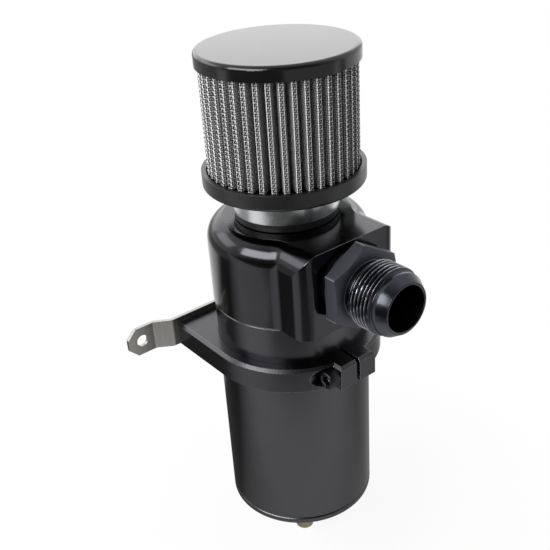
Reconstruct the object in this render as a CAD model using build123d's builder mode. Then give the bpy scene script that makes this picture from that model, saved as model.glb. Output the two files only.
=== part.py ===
import os
from math import cos, pi, radians, sin

from build123d import *

os.makedirs("parts", exist_ok=True)

# Oil catch can with a breather filter, held to a wall by a split clamp and a strap.
# Millimetres. Origin midway between the strap's two holes, on the wall; +Z up, inlet towards -Y.
# Heights of the can's pieces are counted from the underside of the base cap.

# Mounting strap: joggled stainless sheet
strap_thick = 2.0
strap_height = 16.0
strap_joggle = 5.3
strap_bend_radius = 3.0
strap_run_margin = 3.5
strap_joggle_run = 8.0
strap_tab_margin = 8.3
strap_corner_cut = 5.0
strap_hole_spacing = 131.0
strap_hole_radius = 3.3
strap_screw_spacing = 64.0
strap_screw_radius = 2.4
strap_screw_length = 10.0
strap_screw_head_radius = 4.5
strap_screw_head_height = 2.6

# Clamp bracket: half-inch plate bored for the can and split at the front
bracket_thick = 12.7
bracket_ring_wall = 6.3
bracket_back_wall = 1.5
bracket_edge_chamfer = 1.5
bracket_height = 94.4
ear_half_width = 11.4
ear_reach = 10.3
ear_gap = 2.2
ear_root = 5.7
clamp_bolt_radius = 3.15
clamp_bolt_reach = 5.7
clamp_bolt_head_radius = 4.76
clamp_bolt_head_height = 6.35
clamp_bolt_socket_flats = 4.76
clamp_bolt_socket_depth = 3.2
clamp_bolt_end_margin = 1.0
bolt_pocket_radius = 5.6
bolt_pocket_length = 16.0

# Canister and its base cap
can_radius = 39.7
can_wall = 3.0
base_flange = 3.8
base_floor = 5.0
base_plug_height = 13.0
base_bowl_wall = 3.3
base_edge_round = 1.2
base_rim_chamfer = 0.5
can_edge_chamfer = 0.7
head_bottom = 127.0

# Head: turned and milled body with the inlet boss
head_overhang = 0.6
head_height = 44.4
head_roof = 8.5
head_skirt_wall = 3.3
shoulder_round = 11.0
shoulder_skim = 0.35
head_foot_chamfer = 0.7
boss_half_width = 30.0
boss_reach = 6.2
boss_corner_round = 7.5
boss_root_round = 8.0
boss_blank_extra = 25.0
head_skirt_depth = 14.0
spigot_radius = 22.2
spigot_bore = 19.0
spigot_height = 15.5
port_rise = 23.0
port_thread_radius = 13.4
port_seat_radius = 16.2
port_seat_depth = 2.7

# Round seals
seal_section = 2.4
seal_groove_width = 3.0

# Baffle plate under the head
baffle_thick = 1.6
baffle_edge_gap = 0.7
baffle_hole_radius = 2.6
baffle_ring_step = 8.0
baffle_rings = 3
baffle_screws_count = 3
baffle_screw_radius = 1.5
baffle_screw_length = 7.0
baffle_screw_head_radius = 2.4
baffle_screw_head_height = 1.8

# Inlet fitting: male flare end with a hex
hex_flats = 38.1
hex_length = 8.2
hex_chamfer = 1.1
washer_face = 2.5
washer_radius = 17.4
relief_radius = 14.6
relief_length = 3.8
thread_radius = 16.65
thread_length = 13.5
collar_radius = 15.4
collar_length = 2.6
nose_radius = 12.6
nose_length = 4.4
nose_bore = 11.2
nose_edge_round = 0.6
stub_length = 13.0

# Breather filter
neck_length = 17.2
filter_height = 65.0
filter_radius = 38.2
filter_base_radius = 39.7
filter_shell = 0.9
filter_band_height = 8.0
filter_band_round = 1.6
filter_flange = 2.4
filter_cap_skirt = 6.8
filter_cap_sheet = 1.2
filter_cap_round = 2.0
neck_wall = 3.4
neck_foot_gap = 0.4
pleat_count = 41
pleat_depth = 7.0
pleat_wall = 0.8
pleat_crest_share = 0.36
pleat_valley_share = 0.40
pleat_turn = 4.7
support_radius = 27.4
support_wall = 0.7
support_hole_radius = 3.0
support_hole_rows = 4
support_holes_around = 8

# Worm-drive hose clamp on the filter's neck
hose_band_thick = 0.7
hose_band_width = 12.0
hose_band_rise = 4.2
hose_slot_count = 16
hose_slot_pitch = 6.0
hose_slot_length = 7.0
hose_slot_width = 1.3
hose_slot_slant = 12.0
hose_slot_start = 68.0
housing_angle = -10.0
housing_length = 14.0
housing_depth = 8.4
housing_round = 2.2
worm_radius = 3.4
worm_head_flats = 7.0
worm_head_length = 5.0
worm_head_slot = 1.2
worm_stub = 2.0

# Drain cock under the base
drain_thread_radius = 6.6
drain_hex_flats = 17.5
drain_hex_height = 8.0
drain_barrel_radius = 7.5
drain_barrel_half = 9.5
drain_barrel_drop = 18.0
drain_outlet_radius = 5.2
drain_bore = 3.0
drain_length = 39.0
drain_outlet_round = 0.8
key_radius = 4.5
key_flange_radius = 6.0
key_flange = 2.0
lever_length = 22.0
lever_width = 8.0
lever_thick = 3.0
key_stub_radius = 2.5
key_stub_length = 4.0
key_nut_flats = 8.0
key_nut_thick = 3.0

# Clearances
running_fit = 0.06
seat_fit = 0.05
seal_fit = 0.05
screw_fit = 0.1

# Places worked out from the sizes above
can_bore = can_radius - can_wall
groove_root = can_bore - seal_section
base_bowl_radius = groove_root - base_bowl_wall
head_cavity_radius = groove_root - head_skirt_wall
head_radius = can_radius + head_overhang
boss_front = head_radius + boss_reach
bracket_ring_radius = can_radius + bracket_ring_wall
bracket_back = can_radius + bracket_back_wall
ear_front = can_radius + ear_reach
ear_inner = can_radius - ear_root
bolt_y = -(can_radius + clamp_bolt_reach)
axis_y = -(strap_joggle + strap_thick + bracket_back)
base_z = -(bracket_height + strap_height / 2)
head_top = head_bottom + head_height
cavity_top = head_top - head_roof
skirt_bottom = head_bottom - head_skirt_depth
filter_bottom = head_top + neck_length
filter_top = filter_bottom + filter_height
hose_band_height = head_top + hose_band_rise
port_height = head_bottom + port_rise
strap_half_run = bracket_ring_radius + strap_run_margin
strap_tab_start = strap_half_run + strap_joggle_run
strap_half_length = strap_hole_spacing / 2 + strap_tab_margin
neck_radius = spigot_radius + seat_fit + neck_wall
bracket_mid = bracket_height + bracket_thick / 2
can_axis = Axis((0, axis_y, 0), (0, 0, 1))
can_section = Plane((0, axis_y, base_z), x_dir=(1, 0, 0), z_dir=(0, -1, 0))


def level(height):
    """Horizontal plane on the can's axis, at a height above the base."""
    return Plane((0, axis_y, base_z + height))


def across(x, y, height):
    """Plane facing +X at a point given from the can's axis."""
    return Plane((x, axis_y + y, base_z + height), x_dir=(0, 1, 0), z_dir=(1, 0, 0))


def facing(y, height):
    """Plane facing -Y, towards the inlet, at a distance from the can's axis."""
    return Plane((0, axis_y + y, base_z + height), x_dir=(1, 0, 0), z_dir=(0, -1, 0))


# Canister: plain tube between the base cap's flange and the head
with BuildPart() as canister:
    with BuildSketch(can_section):
        with Locations((can_bore, base_flange)):
            Rectangle(can_wall, head_bottom - base_flange, align=(Align.MIN, Align.MIN))
    revolve(axis=can_axis)
    rims = canister.edges().filter_by(GeomType.CIRCLE).sort_by(SortBy.RADIUS)[-2:]
    chamfer(rims, can_edge_chamfer)
canister.part.label = "canister"
export_step(canister.part, "parts/canister.step")

# Base cap: turned plug with a bowl inside and a seal groove
plug_radius = can_bore - seat_fit
base_groove = (base_flange + base_plug_height) / 2
with BuildPart() as base_cap:
    with BuildSketch(level(0)):
        Circle(can_radius)
    extrude(amount=base_flange)
    fillet(base_cap.faces().sort_by(Axis.Z)[0].edges(), base_edge_round)
    chamfer(base_cap.faces().sort_by(Axis.Z)[-1].edges(), base_rim_chamfer)
    with BuildSketch(level(base_flange)):
        Circle(plug_radius)
    extrude(amount=base_plug_height - base_flange)
    with BuildSketch(level(base_floor)):
        Circle(base_bowl_radius)
    extrude(amount=base_plug_height, mode=Mode.SUBTRACT)
    with BuildSketch(level(base_groove - seal_groove_width / 2)):
        Circle(can_radius)
        Circle(groove_root, mode=Mode.SUBTRACT)
    extrude(amount=seal_groove_width, mode=Mode.SUBTRACT)
    with BuildSketch(level(0)):
        Circle(drain_thread_radius + screw_fit)
    extrude(amount=base_floor, mode=Mode.SUBTRACT)
base_cap.part.label = "base_cap"
export_step(base_cap.part, "parts/base_cap.step")

# Base seal: round rubber ring in the cap's groove
seal_centre = groove_root + seal_section / 2
with BuildPart() as base_oring:
    with BuildSketch(can_section):
        with Locations((seal_centre, base_groove)):
            Circle(seal_section / 2 - seal_fit)
    revolve(axis=can_axis)
base_oring.part.label = "base_oring"
export_step(base_oring.part, "parts/base_oring.step")

# Drain cock body: threaded stub, hex, cross barrel and outlet, bored through
with BuildPart() as drain_cock_body:
    with BuildSketch(level(-drain_hex_height)):
        RegularPolygon(drain_hex_flats / 2, 6, major_radius=False)
    extrude(amount=drain_hex_height)
    with BuildSketch(level(0)):
        Circle(drain_thread_radius)
    extrude(amount=base_floor)
    with BuildSketch(level(-drain_length)):
        Circle(drain_outlet_radius)
    extrude(amount=drain_length - drain_hex_height)
    fillet(drain_cock_body.faces().sort_by(Axis.Z)[0].edges(), drain_outlet_round)
    with BuildSketch(across(-drain_barrel_half, 0, -drain_barrel_drop)):
        Circle(drain_barrel_radius)
    extrude(amount=2 * drain_barrel_half)
    with BuildSketch(level(-drain_length)):
        Circle(drain_bore)
    extrude(amount=drain_length + base_floor, mode=Mode.SUBTRACT)
    with BuildSketch(across(-drain_barrel_half, 0, -drain_barrel_drop)):
        Circle(key_radius + running_fit)
    extrude(amount=2 * drain_barrel_half, mode=Mode.SUBTRACT)
drain_cock_body.part.label = "drain_cock_body"
export_step(drain_cock_body.part, "parts/drain_cock_body.step")

# Drain cock key: cross-bored spindle with its lever, closed with the lever towards the wall
key_face = drain_barrel_half + running_fit
with BuildPart() as drain_cock_key:
    with BuildSketch(across(-key_face, 0, -drain_barrel_drop)):
        Circle(key_radius)
    extrude(amount=2 * key_face)
    with BuildSketch(across(key_face, 0, -drain_barrel_drop)):
        Circle(key_flange_radius)
    extrude(amount=key_flange)
    with BuildSketch(across(key_face + key_flange, 0, -drain_barrel_drop)):
        with Locations((lever_length / 2, 0)):
            SlotCenterToCenter(lever_length, lever_width)
    extrude(amount=lever_thick)
    with BuildSketch(across(-key_face - key_stub_length, 0, -drain_barrel_drop)):
        Circle(key_stub_radius)
    extrude(amount=key_stub_length)
    with BuildSketch(facing(0, -drain_barrel_drop)):
        Circle(drain_bore)
    extrude(amount=key_flange_radius, both=True, mode=Mode.SUBTRACT)
drain_cock_key.part.label = "drain_cock_key"
export_step(drain_cock_key.part, "parts/drain_cock_key.step")

# Drain cock nut: keeps the key in its barrel
with BuildPart() as drain_cock_nut:
    with BuildSketch(across(-key_face - key_nut_thick, 0, -drain_barrel_drop)):
        RegularPolygon(key_nut_flats / 2, 6, major_radius=False)
        Circle(key_stub_radius + seat_fit, mode=Mode.SUBTRACT)
    extrude(amount=key_nut_thick - running_fit)
drain_cock_nut.part.label = "drain_cock_nut"
export_step(drain_cock_nut.part, "parts/drain_cock_nut.step")

# Head blank: the round body run on past the inlet face, its whole top edge rounded over;
# it stands a little tall, so facing the top off leaves a crisp edge where the round begins
with BuildPart() as head_blank:
    with BuildSketch(level(head_bottom)) as blank_plan:
        Circle(head_radius)
        with Locations((0, -(boss_front + boss_blank_extra) / 2)):
            Rectangle(2 * boss_half_width, boss_front + boss_blank_extra)
        roots = blank_plan.vertices().sort_by(Axis.Y)[-2:]
        fillet(roots, boss_root_round)
    extrude(amount=head_height + shoulder_skim)
    fillet(head_blank.faces().sort_by(Axis.Z)[-1].edges(), shoulder_round)

# Head: the blank cut off flat at the inlet face with upright rounded corners, then bored
skirt_radius = can_bore - seat_fit
head_groove = head_bottom - head_skirt_depth / 2
with BuildPart() as head:
    with BuildSketch(level(head_bottom)) as head_plan:
        Circle(head_radius)
        with Locations((0, -boss_front / 2)):
            Rectangle(2 * boss_half_width, boss_front)
        fillet(head_plan.vertices().sort_by(Axis.Y)[:2], boss_corner_round)
        fillet(head_plan.vertices().sort_by(Axis.Y)[-2:], boss_root_round)
    extrude(amount=head_height)
    add(head_blank.part, mode=Mode.INTERSECT)
    chamfer(head.faces().sort_by(Axis.Z)[0].edges(), head_foot_chamfer)
    with BuildSketch(level(skirt_bottom)):
        Circle(skirt_radius)
    extrude(amount=head_skirt_depth)
    with BuildSketch(level(head_top)):
        Circle(spigot_radius)
    extrude(amount=spigot_height)
    with BuildSketch(level(skirt_bottom)):
        Circle(head_cavity_radius)
    extrude(amount=cavity_top - skirt_bottom, mode=Mode.SUBTRACT)
    with BuildSketch(level(cavity_top)):
        Circle(spigot_bore)
    extrude(amount=head_roof + spigot_height, mode=Mode.SUBTRACT)
    with BuildSketch(level(head_groove - seal_groove_width / 2)):
        Circle(can_radius)
        Circle(groove_root, mode=Mode.SUBTRACT)
    extrude(amount=seal_groove_width, mode=Mode.SUBTRACT)
    with BuildSketch(facing(-boss_front, port_height)):
        Circle(port_thread_radius)
    extrude(amount=-boss_front, mode=Mode.SUBTRACT)
    with BuildSketch(facing(-boss_front, port_height)):
        Circle(port_seat_radius)
    extrude(amount=-port_seat_depth, mode=Mode.SUBTRACT)
    with BuildSketch(level(skirt_bottom)):
        with PolarLocations((head_cavity_radius + skirt_radius) / 2, baffle_screws_count, start_angle=90):
            Circle(baffle_screw_radius)
    extrude(amount=baffle_screw_length - baffle_thick + screw_fit, mode=Mode.SUBTRACT)
head.part.label = "head"
export_step(head.part, "parts/head.step")

# Head seal: round rubber ring between the head's skirt and the canister
with BuildPart() as head_oring:
    with BuildSketch(can_section):
        with Locations((seal_centre, head_groove)):
            Circle(seal_section / 2 - seal_fit)
    revolve(axis=can_axis)
head_oring.part.label = "head_oring"
export_step(head_oring.part, "parts/head_oring.step")

# Baffle plate: perforated disc under the head's skirt, which keeps oil from being drawn up
baffle_screw_circle = (head_cavity_radius + skirt_radius) / 2
with BuildPart() as baffle_plate:
    with BuildSketch(level(skirt_bottom - baffle_thick)):
        Circle(skirt_radius - baffle_edge_gap)
        Circle(baffle_hole_radius, mode=Mode.SUBTRACT)
        for ring in range(1, baffle_rings + 1):
            with PolarLocations(ring * baffle_ring_step, 6 * ring):
                Circle(baffle_hole_radius, mode=Mode.SUBTRACT)
        with PolarLocations(baffle_screw_circle, baffle_screws_count, start_angle=90):
            Circle(baffle_screw_radius, mode=Mode.SUBTRACT)
    extrude(amount=baffle_thick)
baffle_plate.part.label = "baffle_plate"
export_step(baffle_plate.part, "parts/baffle_plate.step")

# Baffle screws: small pan heads up into the skirt
baffle_underside = skirt_bottom - baffle_thick
with BuildPart() as baffle_screws:
    with BuildSketch(level(baffle_underside - baffle_screw_head_height)):
        with PolarLocations(baffle_screw_circle, baffle_screws_count, start_angle=90):
            Circle(baffle_screw_head_radius)
    extrude(amount=baffle_screw_head_height)
    with BuildSketch(level(baffle_underside)):
        with PolarLocations(baffle_screw_circle, baffle_screws_count, start_angle=90):
            Circle(baffle_screw_radius - seat_fit)
    extrude(amount=baffle_screw_length)
baffle_screws.part.label = "baffle_screws"
export_step(baffle_screws.part, "parts/baffle_screws.step")

# Inlet fitting: turned flare end with a hex, screwed into the boss
fit_section = Plane((0, axis_y - boss_front, base_z + port_height), x_dir=(0, 0, 1), z_dir=(-1, 0, 0))
fit_axis = Axis((0, axis_y, base_z + port_height), (0, -1, 0))
hex_start = washer_face
hex_end = hex_start + hex_length
relief_end = hex_end + relief_length
thread_end = relief_end + thread_length
collar_end = thread_end + collar_length
nose_end = collar_end + nose_length
hex_corner = hex_flats / 2 / cos(pi / 6)
with BuildPart() as inlet_fitting:
    with BuildSketch(facing(-boss_front - hex_start, port_height)):
        RegularPolygon(hex_flats / 2, 6, major_radius=False, rotation=30)
    extrude(amount=hex_length)
    with BuildSketch(fit_section):
        with BuildLine():
            Polyline(
                (0, -hex_end),
                (hex_flats / 2, -hex_end),
                (hex_corner, -hex_end + hex_chamfer),
                (hex_corner, -hex_start),
                (0, -hex_start),
                close=True,
            )
        make_face()
    revolve(axis=fit_axis, mode=Mode.INTERSECT)
    with BuildSketch(fit_section):
        with BuildLine():
            Polyline(
                (0, stub_length),
                (port_thread_radius - screw_fit, stub_length),
                (port_thread_radius - screw_fit, 0),
                (washer_radius, 0),
                (washer_radius, -hex_start),
                (relief_radius, -hex_start),
                (relief_radius, -relief_end),
                (thread_radius, -relief_end),
                (thread_radius, -thread_end),
                (collar_radius, -thread_end),
                (collar_radius, -collar_end),
                (nose_radius, -nose_end),
                (0, -nose_end),
                close=True,
            )
        make_face()
    revolve(axis=fit_axis)
    with BuildSketch(facing(-boss_front - nose_end, port_height)):
        Circle(nose_bore)
    extrude(amount=-(nose_end + stub_length), mode=Mode.SUBTRACT)
    nose_rims = inlet_fitting.faces().sort_by(Axis.Y)[0].edges()
    fillet(nose_rims, nose_edge_round)
inlet_fitting.part.label = "inlet_fitting"
export_step(inlet_fitting.part, "parts/inlet_fitting.step")

# Fitting seal: round rubber ring in the boss's seat, under the washer face
fit_seal_section = port_seat_radius - port_thread_radius
with BuildPart() as fitting_oring:
    with BuildSketch(fit_section):
        with Locations(((port_seat_radius + port_thread_radius) / 2, fit_seal_section / 2 - seal_fit)):
            Circle(fit_seal_section / 2 - 2 * seal_fit)
    revolve(axis=fit_axis)
fitting_oring.part.label = "fitting_oring"
export_step(fitting_oring.part, "parts/fitting_oring.step")

# Clamp bracket: plate bored for the can, split between two ears, square at the back
with BuildPart() as clamp_bracket:
    with BuildSketch(level(bracket_height)):
        Circle(bracket_ring_radius)
        with Locations((0, bracket_back / 2)):
            Rectangle(2 * bracket_ring_radius, bracket_back)
        with Locations((0, bracket_back)):
            Rectangle(
                2 * bracket_ring_radius,
                bracket_ring_radius,
                align=(Align.CENTER, Align.MIN),
                mode=Mode.SUBTRACT,
            )
        with Locations((0, -(ear_inner + ear_front) / 2)):
            Rectangle(2 * ear_half_width, ear_front - ear_inner)
    extrude(amount=bracket_thick)
    top_rim = clamp_bracket.faces().sort_by(Axis.Z)[-1].edges()
    chamfer(top_rim.sort_by(Axis.Y)[:-1], bracket_edge_chamfer)
    with BuildSketch(level(bracket_height)):
        Circle(can_radius + running_fit)
        with Locations((0, -ear_front / 2)):
            Rectangle(ear_gap, ear_front)
    extrude(amount=bracket_thick, mode=Mode.SUBTRACT)
    with BuildSketch(across(-ear_half_width, bolt_y, bracket_mid)):
        Circle(clamp_bolt_radius + screw_fit)
    extrude(amount=2 * ear_half_width, mode=Mode.SUBTRACT)
    with BuildSketch(across(-ear_half_width, bolt_y, bracket_mid)):
        Circle(bolt_pocket_radius)
    extrude(amount=-bolt_pocket_length, mode=Mode.SUBTRACT)
    with BuildSketch(facing(bracket_back, bracket_height + strap_height / 2)):
        with GridLocations(strap_screw_spacing, 1, 2, 1):
            Circle(strap_screw_radius + screw_fit)
    extrude(amount=strap_screw_length, mode=Mode.SUBTRACT)
clamp_bracket.part.label = "clamp_bracket"
export_step(clamp_bracket.part, "parts/clamp_bracket.step")

# Clamp bolt: socket head cap screw drawing the two ears together
with BuildPart() as clamp_bolt:
    with BuildSketch(across(-ear_half_width - clamp_bolt_head_height, bolt_y, bracket_mid)):
        Circle(clamp_bolt_head_radius)
    extrude(amount=clamp_bolt_head_height)
    with BuildSketch(across(-ear_half_width, bolt_y, bracket_mid)):
        Circle(clamp_bolt_radius)
    extrude(amount=2 * ear_half_width - clamp_bolt_end_margin)
    with BuildSketch(across(-ear_half_width - clamp_bolt_head_height, bolt_y, bracket_mid)):
        RegularPolygon(clamp_bolt_socket_flats / 2, 6, major_radius=False)
    extrude(amount=clamp_bolt_socket_depth, mode=Mode.SUBTRACT)
clamp_bolt.part.label = "clamp_bolt"
export_step(clamp_bolt.part, "parts/clamp_bolt.step")

# Mounting strap: one bent sheet, its tabs set back to the wall
run_y = -strap_joggle - strap_thick / 2
tab_y = -strap_thick / 2
with BuildPart() as mounting_strap:
    with BuildSketch(Plane.XY.offset(-strap_height / 2)):
        with BuildLine():
            FilletPolyline(
                (-strap_half_length, tab_y),
                (-strap_tab_start, tab_y),
                (-strap_half_run, run_y),
                (strap_half_run, run_y),
                (strap_tab_start, tab_y),
                (strap_half_length, tab_y),
                radius=strap_bend_radius,
            )
        trace(line_width=strap_thick)
    extrude(amount=strap_height)
    for side in (0, -1):
        tab_end = mounting_strap.faces().filter_by(Axis.X).sort_by(Axis.X)[side]
        chamfer(tab_end.edges().filter_by(Axis.Y), strap_corner_cut)
    with BuildSketch(Plane.XZ):
        with GridLocations(strap_hole_spacing, 1, 2, 1):
            Circle(strap_hole_radius)
    extrude(amount=strap_thick, both=True, mode=Mode.SUBTRACT)
    with BuildSketch(Plane.XZ.offset(strap_joggle)):
        with GridLocations(strap_screw_spacing, 1, 2, 1):
            Circle(strap_screw_radius + screw_fit)
    extrude(amount=strap_thick, mode=Mode.SUBTRACT)
mounting_strap.part.label = "mounting_strap"
export_step(mounting_strap.part, "parts/mounting_strap.step")

# Strap screws: low heads behind the strap, threaded into the bracket's back
with BuildPart() as strap_screws:
    with BuildSketch(Plane.XZ.offset(strap_joggle - strap_screw_head_height)):
        with GridLocations(strap_screw_spacing, 1, 2, 1):
            Circle(strap_screw_head_radius)
    extrude(amount=strap_screw_head_height)
    with BuildSketch(Plane.XZ.offset(strap_joggle)):
        with GridLocations(strap_screw_spacing, 1, 2, 1):
            Circle(strap_screw_radius)
    extrude(amount=strap_thick + strap_screw_length - screw_fit)
strap_screws.part.label = "strap_screws"
export_step(strap_screws.part, "parts/strap_screws.step")

# Filter base: moulded rubber end ring with its neck over the head's spigot
neck_bore = spigot_radius + seat_fit
media_bottom = filter_bottom + filter_flange
media_top = filter_top - filter_cap_sheet
cup_bore = filter_radius - filter_shell
with BuildPart() as filter_base:
    with BuildSketch(can_section):
        with BuildLine():
            Polyline(
                (neck_bore, head_top + neck_foot_gap),
                (neck_radius, head_top + neck_foot_gap),
                (neck_radius, filter_bottom),
                (filter_base_radius, filter_bottom),
                (filter_base_radius, filter_bottom + filter_band_height),
                (cup_bore, filter_bottom + filter_band_height),
                (cup_bore, media_bottom),
                (neck_bore, media_bottom),
                close=True,
            )
        make_face()
    revolve(axis=can_axis)
    band_rim = filter_base.edges().filter_by(GeomType.CIRCLE).group_by(SortBy.RADIUS)[-1].sort_by(Axis.Z)[0]
    fillet(band_rim, filter_band_round)
filter_base.part.label = "filter_base"
export_step(filter_base.part, "parts/filter_base.step")

# Filter media: one sheet folded into pleats round the element
crest_radius = cup_bore - seat_fit
pleat_angle = 2 * pi / pleat_count


def pleat_line(crest, valley, inset):
    """Corner points of one face of the folded sheet, four to a pleat, set in sideways by a thickness."""
    points = []
    half_crest = pleat_crest_share * pleat_angle / 2 - inset / crest
    half_valley = pleat_valley_share * pleat_angle / 2 + inset / valley
    for pleat in range(pleat_count):
        middle = pleat * pleat_angle + radians(pleat_turn)
        for angle, radius in (
            (middle - half_crest, crest),
            (middle + half_crest, crest),
            (middle + pleat_angle / 2 - half_valley, valley),
            (middle + pleat_angle / 2 + half_valley, valley),
        ):
            points.append((radius * cos(angle), radius * sin(angle)))
    return points


with BuildPart() as filter_media:
    with BuildSketch(level(media_bottom)):
        with BuildLine():
            Polyline(*pleat_line(crest_radius, crest_radius - pleat_depth, 0), close=True)
        make_face()
        with BuildLine():
            inner_crest = crest_radius - pleat_wall
            Polyline(*pleat_line(inner_crest, inner_crest - pleat_depth, pleat_wall), close=True)
        make_face(mode=Mode.SUBTRACT)
    extrude(amount=media_top - media_bottom)
filter_media.part.label = "filter_media"
export_step(filter_media.part, "parts/filter_media.step")

# Filter support: perforated steel tube inside the pleats
hole_step = (media_top - media_bottom) / support_hole_rows
with BuildPart() as filter_support:
    with BuildSketch(level(media_bottom)):
        Circle(support_radius)
        Circle(support_radius - support_wall, mode=Mode.SUBTRACT)
    extrude(amount=media_top - media_bottom)
    for row in range(support_hole_rows):
        for place in range(support_holes_around):
            turn = 360 / support_holes_around * (place + 0.5 * (row % 2))
            ray = Plane(
                (0, axis_y, base_z + media_bottom + (row + 0.5) * hole_step),
                x_dir=(0, 0, 1),
                z_dir=(cos(radians(turn)), sin(radians(turn)), 0),
            )
            with BuildSketch(ray):
                Circle(support_hole_radius)
            extrude(amount=support_radius + support_wall, mode=Mode.SUBTRACT)
filter_support.part.label = "filter_support"
export_step(filter_support.part, "parts/filter_support.step")

# Filter cap: pressed steel cup over the top of the pleats
with BuildPart() as filter_cap:
    with BuildSketch(level(filter_top - filter_cap_skirt)):
        Circle(filter_radius)
    extrude(amount=filter_cap_skirt)
    fillet(filter_cap.faces().sort_by(Axis.Z)[-1].edges(), filter_cap_round)
    with BuildSketch(level(filter_top - filter_cap_skirt)):
        Circle(cup_bore)
    extrude(amount=filter_cap_skirt - filter_cap_sheet, mode=Mode.SUBTRACT)
filter_cap.part.label = "filter_cap"
export_step(filter_cap.part, "parts/filter_cap.step")

# Hose clamp band: slotted strip round the filter's neck
band_inner = neck_radius + seat_fit
band_outer = band_inner + hose_band_thick
band_mid = hose_band_height + hose_band_width / 2
with BuildPart() as hose_clamp_band:
    with BuildSketch(level(hose_band_height)):
        Circle(band_outer)
        Circle(band_inner, mode=Mode.SUBTRACT)
    extrude(amount=hose_band_width)
    for slot in range(hose_slot_count):
        turn = radians(hose_slot_start + slot * hose_slot_pitch)
        outward = (cos(turn), sin(turn), 0)
        face = Plane((0, axis_y, base_z + band_mid), x_dir=(-sin(turn), cos(turn), 0), z_dir=outward)
        with BuildSketch(face):
            SlotOverall(hose_slot_length, hose_slot_width, rotation=90 + hose_slot_slant)
        extrude(amount=band_outer + hose_band_thick, mode=Mode.SUBTRACT)
hose_clamp_band.part.label = "hose_clamp_band"
export_step(hose_clamp_band.part, "parts/hose_clamp_band.step")

# Hose clamp housing: pressed saddle over the band, which carries the worm screw
tangent = radians(housing_angle + 90)
housing_out = (cos(radians(housing_angle)), sin(radians(housing_angle)), 0)
housing_along = (cos(tangent), sin(tangent), 0)
worm_reach = band_outer + worm_radius + running_fit + hose_band_thick
worm_centre = (worm_reach * housing_out[0], axis_y + worm_reach * housing_out[1], base_z + band_mid)
housing_end = Plane(worm_centre, x_dir=housing_out, z_dir=housing_along)
with BuildPart() as hose_clamp_housing:
    with BuildSketch(housing_end.offset(-housing_length / 2)) as housing_outline:
        with Locations((-worm_radius, 0)):
            Rectangle(housing_depth, hose_band_width, align=(Align.MIN, Align.CENTER))
        fillet(housing_outline.vertices().sort_by(Axis.X)[-2:], housing_round)
    extrude(amount=housing_length)
    with BuildSketch(level(hose_band_height)):
        Circle(band_outer + seat_fit)
    extrude(amount=hose_band_width, mode=Mode.SUBTRACT)
    with BuildSketch(housing_end.offset(-housing_length / 2)):
        Circle(worm_radius + running_fit)
    extrude(amount=housing_length, mode=Mode.SUBTRACT)
hose_clamp_housing.part.label = "hose_clamp_housing"
export_step(hose_clamp_housing.part, "parts/hose_clamp_housing.step")

# Hose clamp screw: worm in the housing with a slotted hex head
with BuildPart() as hose_clamp_screw:
    with BuildSketch(housing_end.offset(-housing_length / 2 - worm_stub)):
        Circle(worm_radius)
    extrude(amount=housing_length + 2 * worm_stub)
    with BuildSketch(housing_end.offset(housing_length / 2 + worm_stub)):
        RegularPolygon(worm_head_flats / 2, 6, major_radius=False)
    extrude(amount=worm_head_length)
    with BuildSketch(housing_end.offset(housing_length / 2 + worm_stub + worm_head_length)):
        Rectangle(worm_head_flats * 2, worm_head_slot)
    extrude(amount=-worm_head_length / 2, mode=Mode.SUBTRACT)
hose_clamp_screw.part.label = "hose_clamp_screw"
export_step(hose_clamp_screw.part, "parts/hose_clamp_screw.step")
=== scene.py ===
import math
import bmesh
import bpy
from mathutils import Matrix, Vector


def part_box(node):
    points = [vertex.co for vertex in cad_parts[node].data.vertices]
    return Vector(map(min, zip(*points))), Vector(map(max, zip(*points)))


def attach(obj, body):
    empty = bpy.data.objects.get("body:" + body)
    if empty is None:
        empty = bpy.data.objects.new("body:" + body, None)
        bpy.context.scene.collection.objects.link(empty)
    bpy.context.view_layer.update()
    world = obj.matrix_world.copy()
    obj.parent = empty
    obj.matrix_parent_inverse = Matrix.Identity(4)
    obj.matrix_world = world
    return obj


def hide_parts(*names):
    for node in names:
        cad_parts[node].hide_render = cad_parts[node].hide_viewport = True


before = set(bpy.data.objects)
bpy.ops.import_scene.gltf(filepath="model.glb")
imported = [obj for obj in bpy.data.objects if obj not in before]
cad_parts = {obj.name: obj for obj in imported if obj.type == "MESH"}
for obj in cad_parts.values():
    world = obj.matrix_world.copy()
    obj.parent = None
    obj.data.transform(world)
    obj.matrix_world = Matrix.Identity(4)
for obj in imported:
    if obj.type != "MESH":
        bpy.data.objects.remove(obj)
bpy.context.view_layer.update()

# Canister and base cap
# Drawn aluminium tube and a turned plug, both anodised black after machining.
# The plug sits in the tube on a rubber ring; its rim shows as a thin seam near the foot.
MM = 0.001
can_low, can_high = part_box("canister")
AXIS_Y = (can_low.y + can_high.y) / 2
BASE_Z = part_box("base_cap")[0].z


def linear(code):
    """Linear colour of an sRGB hex code such as "2a2a2d"."""
    parts = [int(code[i : i + 2], 16) / 255 for i in (0, 2, 4)]
    return tuple(c / 12.92 if c <= 0.04045 else ((c + 0.055) / 1.055) ** 2.4 for c in parts) + (1.0,)


def start_material(name):
    """A new material with an empty node tree; returns both."""
    material = bpy.data.materials.new(name)
    material.use_nodes = True
    material.node_tree.nodes.clear()
    return material, material.node_tree


def add_node(tree, kind, settings, sockets):
    """Adds one node, sets its attributes, then each socket by a link or by a value."""
    node = tree.nodes.new(kind)
    for key, value in settings.items():
        setattr(node, key, value)
    for key, value in sockets.items():
        if isinstance(value, bpy.types.NodeSocket):
            tree.links.new(value, node.inputs[key])
        else:
            node.inputs[key].default_value = value
    return node


def dress(node, material):
    """Gives a part that keeps its own shape its finish."""
    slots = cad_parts[node].data.materials
    slots.clear()
    slots.append(material)


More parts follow.
